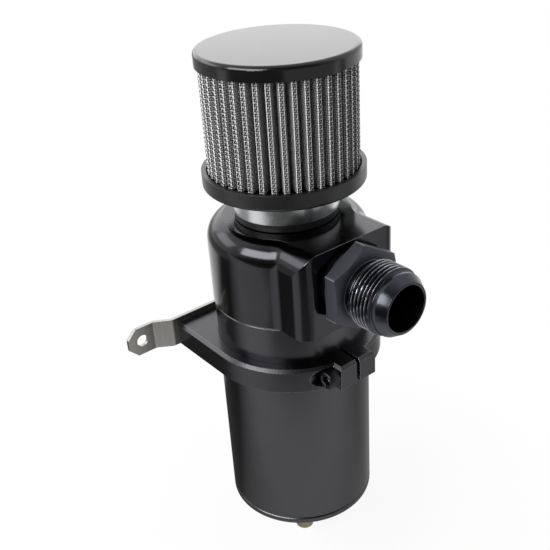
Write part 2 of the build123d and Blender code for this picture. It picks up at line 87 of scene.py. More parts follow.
# Black anodised aluminium, turned: a hard dark film with a low mirror and fine rings left by the lathe.
# The feed marks are about 0.2 mm apart; 0.5 mm here so that they show.
turned_black, tree = start_material("black_anodised_aluminium_turned")
place = add_node(tree, "ShaderNodeTexCoord", {}, {})
feed_marks = add_node(
    tree,
    "ShaderNodeTexWave",
    {"wave_type": "BANDS", "bands_direction": "Z", "wave_profile": "SIN"},
    {
        "Vector": place.outputs["Object"],
        "Scale": 2 * math.pi / (20 * 0.5 * MM),
        "Distortion": 0.4,
        "Detail": 1.0,
    },
)
film = add_node(
    tree,
    "ShaderNodeTexNoise",
    {},
    {"Vector": place.outputs["Object"], "Scale": 1 / (24 * MM), "Detail": 4.0, "Roughness": 0.6},
)
soft_edge = add_node(tree, "ShaderNodeBevel", {"samples": 4}, {"Radius": 0.35 * MM})
rings = add_node(
    tree,
    "ShaderNodeBump",
    {},
    {
        "Strength": 0.05,
        "Distance": 0.02 * MM,
        "Height": feed_marks.outputs["Color"],
        "Normal": soft_edge.outputs["Normal"],
    },
)
dye = add_node(
    tree,
    "ShaderNodeMix",
    {"data_type": "RGBA"},
    {0: film.outputs["Fac"], 6: linear("464649"), 7: linear("4f4f52")},
)
dulling = add_node(
    tree, "ShaderNodeMapRange", {}, {"Value": film.outputs["Fac"], "To Min": 0.18, "To Max": 0.3}
)
shader = add_node(
    tree,
    "ShaderNodeBsdfPrincipled",
    {},
    {
        "Base Color": dye.outputs[2],
        "Roughness": dulling.outputs["Result"],
        "Metallic": 1.0,
        "Normal": rings.outputs["Normal"],
    },
)
add_node(tree, "ShaderNodeOutputMaterial", {}, {"Surface": shader.outputs["BSDF"]})
for part in ("canister", "base_cap"):
    dress(part, turned_black)

# Seals
# Round nitrile rubber rings: under the base cap, under the head and under the inlet's hex.
# Moulded, sat in turned grooves, hidden but for a dark line.
# Nitrile rubber: dull black with a faint grey bloom, which breaks up what little shine it has.
nitrile, tree = start_material("nitrile_rubber_moulded")
place = add_node(tree, "ShaderNodeTexCoord", {}, {})
bloom = add_node(
    tree,
    "ShaderNodeTexNoise",
    {},
    {"Vector": place.outputs["Object"], "Scale": 1 / (2 * MM), "Detail": 3.0},
)
grey = add_node(
    tree,
    "ShaderNodeMix",
    {"data_type": "RGBA"},
    {0: bloom.outputs["Fac"], 6: linear("141414"), 7: linear("1d1d1e")},
)
dulling = add_node(
    tree, "ShaderNodeMapRange", {}, {"Value": bloom.outputs["Fac"], "To Min": 0.5, "To Max": 0.65}
)
shader = add_node(
    tree,
    "ShaderNodeBsdfPrincipled",
    {},
    {"Base Color": grey.outputs[2], "Roughness": dulling.outputs["Result"], "IOR": 1.52},
)
add_node(tree, "ShaderNodeOutputMaterial", {}, {"Surface": shader.outputs["BSDF"]})
for part in ("base_oring", "head_oring", "fitting_oring"):
    dress(part, nitrile)

# Drain cock
# Turned brass body screwed into the base, with a cross-bored key, its lever and its nut.
# Only the tip of the outlet shows from above.
# Dulled brass: warm yellow metal that has greyed in patches, so its shine is broken.
# The lathe's marks are about 0.2 mm apart; 0.4 mm here so that they show.
brass, tree = start_material("brass_turned_dulled")
place = add_node(tree, "ShaderNodeTexCoord", {}, {})
tarnish = add_node(
    tree,
    "ShaderNodeTexNoise",
    {},
    {"Vector": place.outputs["Object"], "Scale": 1 / (5 * MM), "Detail": 5.0, "Roughness": 0.65},
)
lathe = add_node(
    tree,
    "ShaderNodeTexWave",
    {"wave_type": "BANDS", "bands_direction": "Z"},
    {"Vector": place.outputs["Object"], "Scale": 2 * math.pi / (20 * 0.4 * MM), "Distortion": 0.5},
)
soft_edge = add_node(tree, "ShaderNodeBevel", {"samples": 4}, {"Radius": 0.3 * MM})
rings = add_node(
    tree,
    "ShaderNodeBump",
    {},
    {
        "Strength": 0.15,
        "Distance": 0.02 * MM,
        "Height": lathe.outputs["Color"],
        "Normal": soft_edge.outputs["Normal"],
    },
)
patches = add_node(
    tree,
    "ShaderNodeMix",
    {"data_type": "RGBA"},
    {0: tarnish.outputs["Fac"], 6: linear("9a9070"), 7: linear("c6bb98")},
)
dulling = add_node(
    tree, "ShaderNodeMapRange", {}, {"Value": tarnish.outputs["Fac"], "To Min": 0.42, "To Max": 0.26}
)
shader = add_node(
    tree,
    "ShaderNodeBsdfPrincipled",
    {},
    {
        "Base Color": patches.outputs[2],
        "Roughness": dulling.outputs["Result"],
        "Metallic": 1.0,
        "Normal": rings.outputs["Normal"],
    },
)
add_node(tree, "ShaderNodeOutputMaterial", {}, {"Surface": shader.outputs["BSDF"]})
for part in ("drain_cock_body", "drain_cock_key", "drain_cock_nut"):
    dress(part, brass)

# Head
# Aluminium billet, turned round and milled flat at the inlet, then anodised black.
# Its skirt plugs into the canister and its spigot carries the filter's neck.
# Black anodised aluminium, milled and tumbled: the same dark film, smooth, with faint clouds and no rings,
# and a greyer line along its sharp edges, partly wear and partly a painted edge highlight.
milled_black, tree = start_material("black_anodised_aluminium_milled")
place = add_node(tree, "ShaderNodeTexCoord", {}, {})
film = add_node(
    tree,
    "ShaderNodeTexNoise",
    {},
    {"Vector": place.outputs["Object"], "Scale": 1 / (18 * MM), "Detail": 5.0, "Roughness": 0.6},
)
etch = add_node(
    tree,
    "ShaderNodeTexNoise",
    {},
    {"Vector": place.outputs["Object"], "Scale": 1 / (0.5 * MM), "Detail": 2.0},
)
soft_edge = add_node(tree, "ShaderNodeBevel", {"samples": 4}, {"Radius": 0.4 * MM})
skin = add_node(
    tree,
    "ShaderNodeBump",
    {},
    {
        "Strength": 0.04,
        "Distance": 0.02 * MM,
        "Height": etch.outputs["Fac"],
        "Normal": soft_edge.outputs["Normal"],
    },
)
true_shape = add_node(tree, "ShaderNodeNewGeometry", {}, {})
turned_away = add_node(
    tree,
    "ShaderNodeVectorMath",
    {"operation": "DOT_PRODUCT"},
    {0: soft_edge.outputs["Normal"], 1: true_shape.outputs["Normal"]},
)
# Painted edge highlight, partly real wear: pale where the bevelled normal turns away from the true one.
edge_wear_and_highlight = add_node(
    tree,
    "ShaderNodeMapRange",
    {},
    {"Value": turned_away.outputs["Value"], "From Min": 0.99, "From Max": 0.85, "To Min": 0.0, "To Max": 0.7},
)
dye = add_node(
    tree,
    "ShaderNodeMix",
    {"data_type": "RGBA"},
    {0: film.outputs["Fac"], 6: linear("373739"), 7: linear("404043")},
)
highlit = add_node(
    tree,
    "ShaderNodeMix",
    {"data_type": "RGBA"},
    {0: edge_wear_and_highlight.outputs["Result"], 6: dye.outputs[2], 7: linear("9c9c9f")},
)
dulling = add_node(
    tree, "ShaderNodeMapRange", {}, {"Value": film.outputs["Fac"], "To Min": 0.12, "To Max": 0.2}
)
shader = add_node(
    tree,
    "ShaderNodeBsdfPrincipled",
    {},
    {
        "Base Color": highlit.outputs[2],
        "Roughness": dulling.outputs["Result"],
        "Metallic": 1.0,
        "Normal": skin.outputs["Normal"],
    },
)
add_node(tree, "ShaderNodeOutputMaterial", {}, {"Surface": shader.outputs["BSDF"]})
dress("head", milled_black)

# Baffle plate and its screws
# Perforated aluminium disc under the head, held by three small screws up into the skirt.
# Left in its mill finish, because it lies out of sight inside the can.
# Mill finish: pale grey metal with long faint streaks from the rolls.
mill_aluminium, tree = start_material("aluminium_sheet_mill_finish")
place = add_node(tree, "ShaderNodeTexCoord", {}, {})
drawn_out = add_node(
    tree, "ShaderNodeMapping", {}, {"Vector": place.outputs["Object"], "Scale": (1.0, 0.05, 1.0)}
)
roll_marks = add_node(
    tree,
    "ShaderNodeTexNoise",
    {},
    {"Vector": drawn_out.outputs["Vector"], "Scale": 1 / (0.8 * MM), "Detail": 3.0},
)
streaks = add_node(
    tree,
    "ShaderNodeMix",
    {"data_type": "RGBA"},
    {0: roll_marks.outputs["Fac"], 6: linear("b4b6b9"), 7: linear("cfd1d3")},
)
dulling = add_node(
    tree, "ShaderNodeMapRange", {}, {"Value": roll_marks.outputs["Fac"], "To Min": 0.3, "To Max": 0.45}
)
shader = add_node(
    tree,
    "ShaderNodeBsdfPrincipled",
    {},
    {"Base Color": streaks.outputs[2], "Roughness": dulling.outputs["Result"], "Metallic": 1.0},
)
add_node(tree, "ShaderNodeOutputMaterial", {}, {"Surface": shader.outputs["BSDF"]})
dress("baffle_plate", mill_aluminium)
dress("baffle_screws", mill_aluminium)

# Inlet fitting
# Turned aluminium flare fitting with a hex for the spanner, anodised blue-black.
# It screws into the boss; the hose end's nut runs on its thread and seals on the cone.
PORT_Z = BASE_Z + 150.0 * MM
BOSS_FACE = AXIS_Y - 46.5 * MM
AROUND = 144
HALF_FLATS = 19.05
CORNER_BREAK = 0.45
HEX_END = 10.7
THREAD_PITCH = 2.117
THREAD_FROM, THREAD_TO = 13.5, 28.0
THREAD_ROOT, THREAD_DEPTH = 15.2, 1.45
THREAD_RUN_IN, THREAD_RUN_OUT = 1.4, 1.2
THREAD_RINGS = 84


def mesh_piece(name, points, faces, material, flat_angle=32):
    """A mesh object, smooth but for edges sharper than the given angle."""
    mesh = bpy.data.meshes.new(name)
    mesh.from_pydata(points, [], faces)
    outward = bmesh.new()
    outward.from_mesh(mesh)
    bmesh.ops.recalc_face_normals(outward, faces=outward.faces)
    outward.to_mesh(mesh)
    outward.free()
    piece = bpy.data.objects.new(name, mesh)
    bpy.context.scene.collection.objects.link(piece)
    mesh.materials.append(material)
    mesh.shade_smooth()
    mesh.set_sharp_from_angle(angle=math.radians(flat_angle))
    return piece


def lathe_skin(rows, hollow):
    """Points and faces over rings of points: a hollow skin meets itself, a solid one has two end caps."""
    points = [point for row in rows for point in row]
    around = len(rows[0])
    faces = []
    for r in range(len(rows) if hollow else len(rows) - 1):
        here, over = r * around, (r + 1) % len(rows) * around
        for a in range(around):
            b = (a + 1) % around
            faces.append((here + a, over + a, over + b, here + b))
    if not hollow:
        faces.append(tuple(range(around)))
        faces.append(tuple(range(len(points) - around, len(points))))
    return points, faces


def hex_radius(angle, half_flats):
    """Distance from the middle of a hexagon to its edge at an angle."""
    return half_flats / math.cos(angle % (math.pi / 3) - math.pi / 6)


def fitting_point(angle, radius, out):
    """A point of the fitting: angle from straight up, radius and distance from the boss, in millimetres."""
    return (radius * MM * math.sin(angle), BOSS_FACE - out * MM, PORT_Z + radius * MM * math.cos(angle))


turns = [2 * math.pi * a / AROUND for a in range(AROUND)]
corners = [hex_radius(t, HALF_FLATS) for t in turns]
rows = []
for radius, out in ((11.2, -13.0), (13.3, -13.0), (13.3, 0.0), (17.2, 0.0), (17.4, 0.2), (17.4, 2.5)):
    rows.append([fitting_point(t, radius, out) for t in turns])
for out, inset in ((2.5, 0.6), (2.8, 0.0)):
    rows.append([fitting_point(t, r - inset, out) for t, r in zip(turns, corners)])
thirty_degrees = math.tan(math.pi / 6)
rows.append(
    [
        fitting_point(t, r, HEX_END - (r - HALF_FLATS + CORNER_BREAK) * thirty_degrees)
        for t, r in zip(turns, corners)
    ]
)
for radius, out in ((HALF_FLATS - CORNER_BREAK, HEX_END), (14.9, HEX_END), (14.6, 11.0), (14.6, 13.4)):
    rows.append([fitting_point(t, radius, out) for t in turns])
for step in range(THREAD_RINGS + 1):
    out = THREAD_FROM + (THREAD_TO - THREAD_FROM) * step / THREAD_RINGS
    run_in = (out - THREAD_FROM) / THREAD_RUN_IN
    run_out = (THREAD_TO - out) / THREAD_RUN_OUT
    full = max(0.0, min(1.0, run_in, run_out))
    ring = []
    for t in turns:
        phase = (out / THREAD_PITCH + t / (2 * math.pi)) % 1.0
        # A vee with a narrow flat on its crest and in its root.
        crest = min(1.0, max(0.0, 1.3 * (1 - abs(2 * phase - 1)) - 0.15))
        ring.append(fitting_point(t, THREAD_ROOT + THREAD_DEPTH * crest * full, out))
    rows.append(ring)
collar = [(14.9, 28.2), (14.9, 28.6), (15.2, 28.9), (15.4, 29.2), (15.4, 30.4), (15.25, 30.8)]
cone = [(12.9, 34.3), (12.6, 34.8), (12.2, 35.0), (11.7, 35.0), (11.3, 34.7), (11.2, 34.2)]
for radius, out in collar + cone:
    rows.append([fitting_point(t, radius, out) for t in turns])
points, faces = lathe_skin(rows, hollow=True)

# Blue-black anodised aluminium: bright where it is turned, matt on the flats of the drawn bar,
# and pale along the hex's corners and the thread's crests, partly rubbed wear and partly a painted highlight.
# The tool's marks are about 0.2 mm apart; 0.4 mm here so that they show.
blue_black, tree = start_material("blue_black_anodised_aluminium")
place = add_node(tree, "ShaderNodeTexCoord", {}, {})
film = add_node(
    tree,
    "ShaderNodeTexNoise",
    {},
    {"Vector": place.outputs["Object"], "Scale": 1 / (8 * MM), "Detail": 4.0},
)
tool_marks = add_node(
    tree,
    "ShaderNodeTexWave",
    {"wave_type": "BANDS", "bands_direction": "Y"},
    {"Vector": place.outputs["Object"], "Scale": 2 * math.pi / (20 * 0.4 * MM), "Distortion": 0.3},
)
rings = add_node(
    tree,
    "ShaderNodeBump",
    {},
    {"Strength": 0.06, "Distance": 0.02 * MM, "Height": tool_marks.outputs["Color"]},
)
along = add_node(tree, "ShaderNodeSeparateXYZ", {}, {"Vector": place.outputs["Object"]})
on_hex = add_node(
    tree,
    "ShaderNodeMapRange",
    {},
    {
        "Value": along.outputs["Y"],
        "From Min": BOSS_FACE - (HEX_END + 0.3) * MM,
        "From Max": BOSS_FACE - HEX_END * MM,
    },
)
from_bore = add_node(
    tree,
    "ShaderNodeMapping",
    {},
    {"Vector": place.outputs["Object"], "Location": (0, 0, -PORT_Z), "Scale": (1, 0, 1)},
)
radius = add_node(tree, "ShaderNodeVectorMath", {"operation": "LENGTH"}, {0: from_bore.outputs["Vector"]})
# Painted highlight, partly real wear: the thread's crests and the hex's corners are mixed towards a pale
# grey.
thread_crest_wear_and_highlight = add_node(
    tree,
    "ShaderNodeMapRange",
    {},
    {
        "Value": radius.outputs["Value"],
        "From Min": (THREAD_ROOT + THREAD_DEPTH - 0.3) * MM,
        "From Max": (THREAD_ROOT + THREAD_DEPTH) * MM,
        "To Max": 0.8,
    },
)
hex_corner_wear_and_highlight = add_node(
    tree,
    "ShaderNodeMapRange",
    {},
    {
        "Value": radius.outputs["Value"],
        "From Min": (HALF_FLATS / math.cos(math.pi / 6) - 0.3) * MM,
        "From Max": HALF_FLATS / math.cos(math.pi / 6) * MM,
        "To Max": 0.8,
    },
)
edge_wear_and_highlight = add_node(
    tree,
    "ShaderNodeMix",
    {"data_type": "FLOAT"},
    {
        0: on_hex.outputs["Result"],
        2: thread_crest_wear_and_highlight.outputs["Result"],
        3: hex_corner_wear_and_highlight.outputs["Result"],
    },
)
dye = add_node(
    tree,
    "ShaderNodeMix",
    {"data_type": "RGBA"},
    {0: film.outputs["Fac"], 6: linear("3d3e44"), 7: linear("484a50")},
)
flats = add_node(
    tree,
    "ShaderNodeMix",
    {"data_type": "RGBA"},
    {0: on_hex.outputs["Result"], 6: dye.outputs[2], 7: linear("585960")},
)
highlit = add_node(
    tree,
    "ShaderNodeMix",
    {"data_type": "RGBA"},
    {0: edge_wear_and_highlight.outputs[0], 6: flats.outputs[2], 7: linear("b4b4b8")},
)
dulling = add_node(
    tree, "ShaderNodeMapRange", {}, {"Value": on_hex.outputs["Result"], "To Min": 0.22, "To Max": 0.6}
)
shader = add_node(
    tree,
    "ShaderNodeBsdfPrincipled",
    {},
    {
        "Base Color": highlit.outputs[2],
        "Roughness": dulling.outputs["Result"],
        "Metallic": 1.0,
        "Normal": rings.outputs["Normal"],
    },
)
add_node(tree, "ShaderNodeOutputMaterial", {}, {"Surface": shader.outputs["BSDF"]})
fitting = mesh_piece("inlet_flare_fitting", points, faces, blue_black)
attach(fitting, "can")
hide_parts("inlet_fitting")

# Clamp bracket and its bolt
# Half-inch aluminium plate, milled, bored for the can, split between two ears, blasted and anodised.
# A socket head cap screw across the split draws the ring tight on the can.
# Black anodised aluminium, blasted: dark grey and finely speckled, with pale edges, partly rubbed wear and
# partly a painted edge highlight.
# The grit leaves pits of about 0.1 mm; 0.4 mm here so that they show.
blasted_black, tree = start_material("black_anodised_aluminium_blasted")
place = add_node(tree, "ShaderNodeTexCoord", {}, {})
grit = add_node(
    tree,
    "ShaderNodeTexNoise",
    {},
    {"Vector": place.outputs["Object"], "Scale": 1 / (0.4 * MM), "Detail": 3.0},
)
soft_edge = add_node(tree, "ShaderNodeBevel", {"samples": 4}, {"Radius": 0.35 * MM})
pits = add_node(
    tree,
    "ShaderNodeBump",
    {},
    {
        "Strength": 0.05,
        "Distance": 0.02 * MM,
        "Height": grit.outputs["Fac"],
        "Normal": soft_edge.outputs["Normal"],
    },
)
true_shape = add_node(tree, "ShaderNodeNewGeometry", {}, {})
turned_away = add_node(
    tree,
    "ShaderNodeVectorMath",
    {"operation": "DOT_PRODUCT"},
    {0: soft_edge.outputs["Normal"], 1: true_shape.outputs["Normal"]},
)
# Painted edge highlight, partly real wear: pale where the bevelled normal turns away from the true one.
edge_wear_and_highlight = add_node(
    tree,
    "ShaderNodeMapRange",
    {},
    {"Value": turned_away.outputs["Value"], "From Min": 0.99, "From Max": 0.88, "To Min": 0.0, "To Max": 0.9},
)
dye = add_node(
    tree,
    "ShaderNodeMix",
    {"data_type": "RGBA"},
    {0: grit.outputs["Fac"], 6: linear("303032"), 7: linear("545457")},
)
highlit = add_node(
    tree,
    "ShaderNodeMix",
    {"data_type": "RGBA"},
    {0: edge_wear_and_highlight.outputs["Result"], 6: dye.outputs[2], 7: linear("a4a4a7")},
)
dulling = add_node(
    tree, "ShaderNodeMapRange", {}, {"Value": grit.outputs["Fac"], "To Min": 0.2, "To Max": 0.34}
)
shader = add_node(
    tree,
    "ShaderNodeBsdfPrincipled",
    {},
    {
        "Base Color": highlit.outputs[2],
        "Roughness": dulling.outputs["Result"],
        "Metallic": 1.0,
        "Normal": pits.outputs["Normal"],
    },
)
add_node(tree, "ShaderNodeOutputMaterial", {}, {"Surface": shader.outputs["BSDF"]})
dress("clamp_bracket", blasted_black)
bolt_low, bolt_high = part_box("clamp_bolt")
BOLT_Y = (bolt_low.y + bolt_high.y) / 2
BOLT_Z = (bolt_low.z + bolt_high.z) / 2
BOLT_HEAD = 6.35
SEAT_X = bolt_low.x + BOLT_HEAD * MM
GRIPS = 48
BOLT_HEAD_RADIUS = 4.76
GROOVE = (0.0, 0.09, 0.18, 0.09)
SOCKET = 2.38


def bolt_point(angle, radius, out):
    """A point of the cap screw: angle round it, radius and distance out from its seat, in millimetres."""
    return (SEAT_X - out * MM, BOLT_Y + radius * MM * math.sin(angle), BOLT_Z + radius * MM * math.cos(angle))


knurl = [2 * math.pi * a / (4 * GRIPS) for a in range(4 * GRIPS)]
rows = []
for radius, out in ((2.6, -21.8), (3.1, -21.2), (3.1, 0.0), (4.5, 0.0)):
    rows.append([bolt_point(t, radius, out) for t in knurl])
for out in (0.3, 5.5):
    rows.append([bolt_point(t, BOLT_HEAD_RADIUS - GROOVE[a % 4], out) for a, t in enumerate(knurl)])
for radius, out in ((4.55, 5.9), (4.3, 6.2), (4.0, BOLT_HEAD), (3.0, BOLT_HEAD)):
    rows.append([bolt_point(t, radius, out) for t in knurl])
for out in (6.0, 3.2):
    rows.append([bolt_point(t, hex_radius(t, SOCKET), out) for t in knurl])
points, faces = lathe_skin(rows, hollow=False)

# Black oxide steel: thin dark conversion coat, dull on the flats and bright along its edges, partly rubbed
# wear and partly a painted edge highlight.
black_oxide, tree = start_material("steel_black_oxide")
place = add_node(tree, "ShaderNodeTexCoord", {}, {})
mix_weight = add_node(
    tree,
    "ShaderNodeTexNoise",
    {},
    {"Vector": place.outputs["Object"], "Scale": 1 / (1.5 * MM), "Detail": 4.0},
)
soft_edge = add_node(tree, "ShaderNodeBevel", {"samples": 4}, {"Radius": 0.3 * MM})
true_shape = add_node(tree, "ShaderNodeNewGeometry", {}, {})
turned_away = add_node(
    tree,
    "ShaderNodeVectorMath",
    {"operation": "DOT_PRODUCT"},
    {0: soft_edge.outputs["Normal"], 1: true_shape.outputs["Normal"]},
)
# Painted edge highlight, partly real wear: pale where the bevelled normal turns away from the true one.
edge_wear_and_highlight = add_node(
    tree,
    "ShaderNodeMapRange",
    {},
    {"Value": turned_away.outputs["Value"], "From Min": 0.99, "From Max": 0.85, "To Min": 0.0, "To Max": 0.8},
)
coat = add_node(
    tree,
    "ShaderNodeMix",
    {"data_type": "RGBA"},
    {0: mix_weight.outputs["Fac"], 6: linear("2e2e30"), 7: linear("3c3c3f")},
)
highlit = add_node(
    tree,
    "ShaderNodeMix",
    {"data_type": "RGBA"},
    {0: edge_wear_and_highlight.outputs["Result"], 6: coat.outputs[2], 7: linear("9a9a9c")},
)
dulling = add_node(
    tree, "ShaderNodeMapRange", {}, {"Value": mix_weight.outputs["Fac"], "To Min": 0.3, "To Max": 0.42}
)
shader = add_node(
    tree,
    "ShaderNodeBsdfPrincipled",
    {},
    {
        "Base Color": highlit.outputs[2],
        "Roughness": dulling.outputs["Result"],
        "Metallic": 1.0,
        "Normal": soft_edge.outputs["Normal"],
    },
)
add_node(tree, "ShaderNodeOutputMaterial", {}, {"Surface": shader.outputs["BSDF"]})
cap_screw = mesh_piece("clamp_cap_screw", points, faces, black_oxide, 40)
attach(cap_screw, "bracket")
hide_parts("clamp_bolt")

# Mounting strap and its screws
# Stainless sheet, sheared and joggled so that its tabs meet the wall, with the belt's grain across the strip.
# Two button head screws hold it to the bracket's back.
SCREW_X = 32.0
SCREW_SEAT_Y = -5.3
points, faces = [], []
for side in (-SCREW_X, SCREW_X):
    shank = [(2.0, -11.9), (2.4, -11.5), (2.4, 0.0)]
    dome = [(4.5, 0.0), (4.5, 0.35), (4.35, 0.9), (3.9, 1.55), (3.2, 2.15), (2.6, 2.45), (2.1, 2.6)]
    rows = [[(radius, t, out) for t in turns] for radius, out in shank + dome]
    rows += [[(hex_radius(t, 1.5), t, out) for t in turns] for out in (2.45, 1.2)]
    placed = []
    for row in rows:
        ring = []
        for radius, t, out in row:
            ring.append(
                ((side + radius * math.sin(t)) * MM, (SCREW_SEAT_Y + out) * MM, radius * math.cos(t) * MM)
            )
        placed.append(ring)
    screw_points, screw_faces = lathe_skin(placed, hollow=False)
    faces += [tuple(len(points) + i for i in face) for face in screw_faces]
    points += screw_points

# Brushed stainless: grey metal whose fine scratches stretch the reflections across the grain.
# The belt's scratches are about 0.1 mm wide; 0.35 mm here so that they show.
brushed_stainless, tree = start_material("stainless_steel_brushed")
place = add_node(tree, "ShaderNodeTexCoord", {}, {})
across = add_node(
    tree, "ShaderNodeMapping", {}, {"Vector": place.outputs["Object"], "Scale": (1.0, 1.0, 0.03)}
)
grain = add_node(
    tree,
    "ShaderNodeTexNoise",
    {},
    {"Vector": across.outputs["Vector"], "Scale": 1 / (0.35 * MM), "Detail": 4.0},
)
soft_edge = add_node(tree, "ShaderNodeBevel", {"samples": 4}, {"Radius": 0.5 * MM})
scratches = add_node(
    tree,
    "ShaderNodeBump",
    {},
    {
        "Strength": 0.2,
        "Distance": 0.02 * MM,
        "Height": grain.outputs["Fac"],
        "Normal": soft_edge.outputs["Normal"],
    },
)
steel = add_node(
    tree,
    "ShaderNodeMix",
    {"data_type": "RGBA"},
    {0: grain.outputs["Fac"], 6: linear("858481"), 7: linear("b5b4b0")},
)
dulling = add_node(
    tree, "ShaderNodeMapRange", {}, {"Value": grain.outputs["Fac"], "To Min": 0.28, "To Max": 0.44}
)
shader = add_node(
    tree,
    "ShaderNodeBsdfPrincipled",
    {},
    {
        "Base Color": steel.outputs[2],
        "Roughness": dulling.outputs["Result"],
        "Metallic": 1.0,
        "Normal": scratches.outputs["Normal"],
    },
)
add_node(tree, "ShaderNodeOutputMaterial", {}, {"Surface": shader.outputs["BSDF"]})
dress("mounting_strap", brushed_stainless)
button_screws = mesh_piece("strap_button_screws", points, faces, brushed_stainless, 40)
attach(button_screws, "bracket")
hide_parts("strap_screws")

# Filter base
# Moulded rubber end ring that holds the pleats and stretches over the head's spigot.
# Cast round the folded element in a polished mould.
# Black rubber, moulded: dark, with a satin skin and a trace of dust that dulls it in clouds.
moulded_rubber, tree = start_material("black_rubber_satin_moulded")
place = add_node(tree, "ShaderNodeTexCoord", {}, {})
skin_grain = add_node(
    tree,
    "ShaderNodeTexNoise",
    {},
    {"Vector": place.outputs["Object"], "Scale": 1 / (0.7 * MM), "Detail": 3.0},
)
dust = add_node(
    tree,
    "ShaderNodeTexNoise",
    {},
    {"Vector": place.outputs["Object"], "Scale": 1 / (15 * MM), "Detail": 3.0},
)
soft_edge = add_node(tree, "ShaderNodeBevel", {"samples": 4}, {"Radius": 0.5 * MM})
skin = add_node(
    tree,
    "ShaderNodeBump",
    {},
    {
        "Strength": 0.12,
        "Distance": 0.03 * MM,
        "Height": skin_grain.outputs["Fac"],
        "Normal": soft_edge.outputs["Normal"],
    },
)
black = add_node(
    tree,
    "ShaderNodeMix",
    {"data_type": "RGBA"},
    {0: dust.outputs["Fac"], 6: linear("0e0e0f"), 7: linear("161618")},
)
dulling = add_node(
    tree, "ShaderNodeMapRange", {}, {"Value": dust.outputs["Fac"], "To Min": 0.3, "To Max": 0.42}
)
shader = add_node(
    tree,
    "ShaderNodeBsdfPrincipled",
    {},
    {
        "Base Color": black.outputs[2],
        "Roughness": dulling.outputs["Result"],
        "IOR": 1.52,
        "Normal": skin.outputs["Normal"],
    },
)
add_node(tree, "ShaderNodeOutputMaterial", {}, {"Surface": shader.outputs["BSDF"]})
dress("filter_base", moulded_rubber)

# Filter media
# Oiled cotton gauze folded into forty-one pleats, its ends set in the base and the cap.
# The folds are soft, so crest and valley are round.
PLEATS = 41
CREST = 36.3
DEPTH = 7.0
CREST_ENDS, VALLEY_STARTS = 0.74, 0.48
FIRST_CREST = math.radians(4.7)
SHEET_THICK = 0.9
media_low, media_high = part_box("filter_media")


def pleat_loop(count, lift):
    """Points evenly along the folded sheet, two beside each crest, lifted off it, with outward normals."""
    fine = 7200
    rounding = 11
    reach = 6
    heights = []
    for i in range(fine):
        near_crest = abs(2 * ((i / fine * PLEATS) % 1.0) - 1)
        heights.append(min(1.0, max(0.0, (near_crest - VALLEY_STARTS) / (CREST_ENDS - VALLEY_STARTS))))
    for smoothing in range(2):
        near = range(-rounding, rounding + 1)
        heights = [sum(heights[(i + j) % fine] for j in near) / len(near) for i in range(fine)]
    fold = []
    for i in range(fine):
        radius = CREST - DEPTH * (1 - heights[i])
        turn = 2 * math.pi * i / fine + FIRST_CREST
        fold.append((radius * math.cos(turn), radius * math.sin(turn)))
    lengths = [0.0]
    for i in range(fine):
        ahead = fold[(i + 1) % fine]
        lengths.append(lengths[-1] + math.hypot(ahead[0] - fold[i][0], ahead[1] - fold[i][1]))
    loop = []
    i = 0
    for c in range(count):
        goal = lengths[-1] * (c + 0.5) / count
        while lengths[i + 1] < goal:
            i += 1
        here, ahead = fold[i], fold[(i + 1) % fine]
        part = (goal - lengths[i]) / (lengths[i + 1] - lengths[i])
        x, y = here[0] + part * (ahead[0] - here[0]), here[1] + part * (ahead[1] - here[1])
        before, after = fold[(i - reach) % fine], fold[(i + 1 + reach) % fine]
        run = Vector((after[0] - before[0], after[1] - before[1])).normalized()
        loop.append((x + run.y * lift, y - run.x * lift, run.y, -run.x))
    return loop


def stand_up(x, y, z):
    """A point given in millimetres from the can's axis, at a height in metres."""
    return (x * MM, AXIS_Y + y * MM, z)


POINTS_A_PLEAT = 24
sheet_count = PLEATS * POINTS_A_PLEAT
outside = pleat_loop(sheet_count, 0.0)
inside = pleat_loop(sheet_count, -SHEET_THICK)
rows = []
rims = ((outside, media_low.z), (outside, media_high.z), (inside, media_high.z), (inside, media_low.z))
for loop, z in rims:
    rows.append([stand_up(p[0], p[1], z) for p in loop])
points, faces = lathe_skin(rows, hollow=True)

# Oiled cotton gauze: dark matt cloth; its threads are about 0.5 mm apart and only break up the dark.
gauze, tree = start_material("cotton_gauze_oiled")
place = add_node(tree, "ShaderNodeTexCoord", {}, {})
weft = add_node(
    tree,
    "ShaderNodeTexWave",
    {"wave_type": "BANDS", "bands_direction": "Z"},
    {
        "Vector": place.outputs["Object"],
        "Scale": 2 * math.pi / (20 * 0.5 * MM),
        "Distortion": 1.5,
        "Detail": 2.0,
    },
)
threads = add_node(
    tree, "ShaderNodeBump", {}, {"Strength": 0.4, "Distance": 0.1 * MM, "Height": weft.outputs["Color"]}
)
cloth = add_node(
    tree,
    "ShaderNodeMix",
    {"data_type": "RGBA"},
    {0: weft.outputs["Fac"], 6: linear("0c0c0d"), 7: linear("1a1a1b")},
)
shader = add_node(
    tree,
    "ShaderNodeBsdfPrincipled",
    {},
    {"Base Color": cloth.outputs[2], "Roughness": 0.85, "Normal": threads.outputs["Normal"]},
)
add_node(tree, "ShaderNodeOutputMaterial", {}, {"Surface": shader.outputs["BSDF"]})
pleats = mesh_piece("filter_pleats", points, faces, gauze, 50)
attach(pleats, "can")
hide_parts("filter_media")

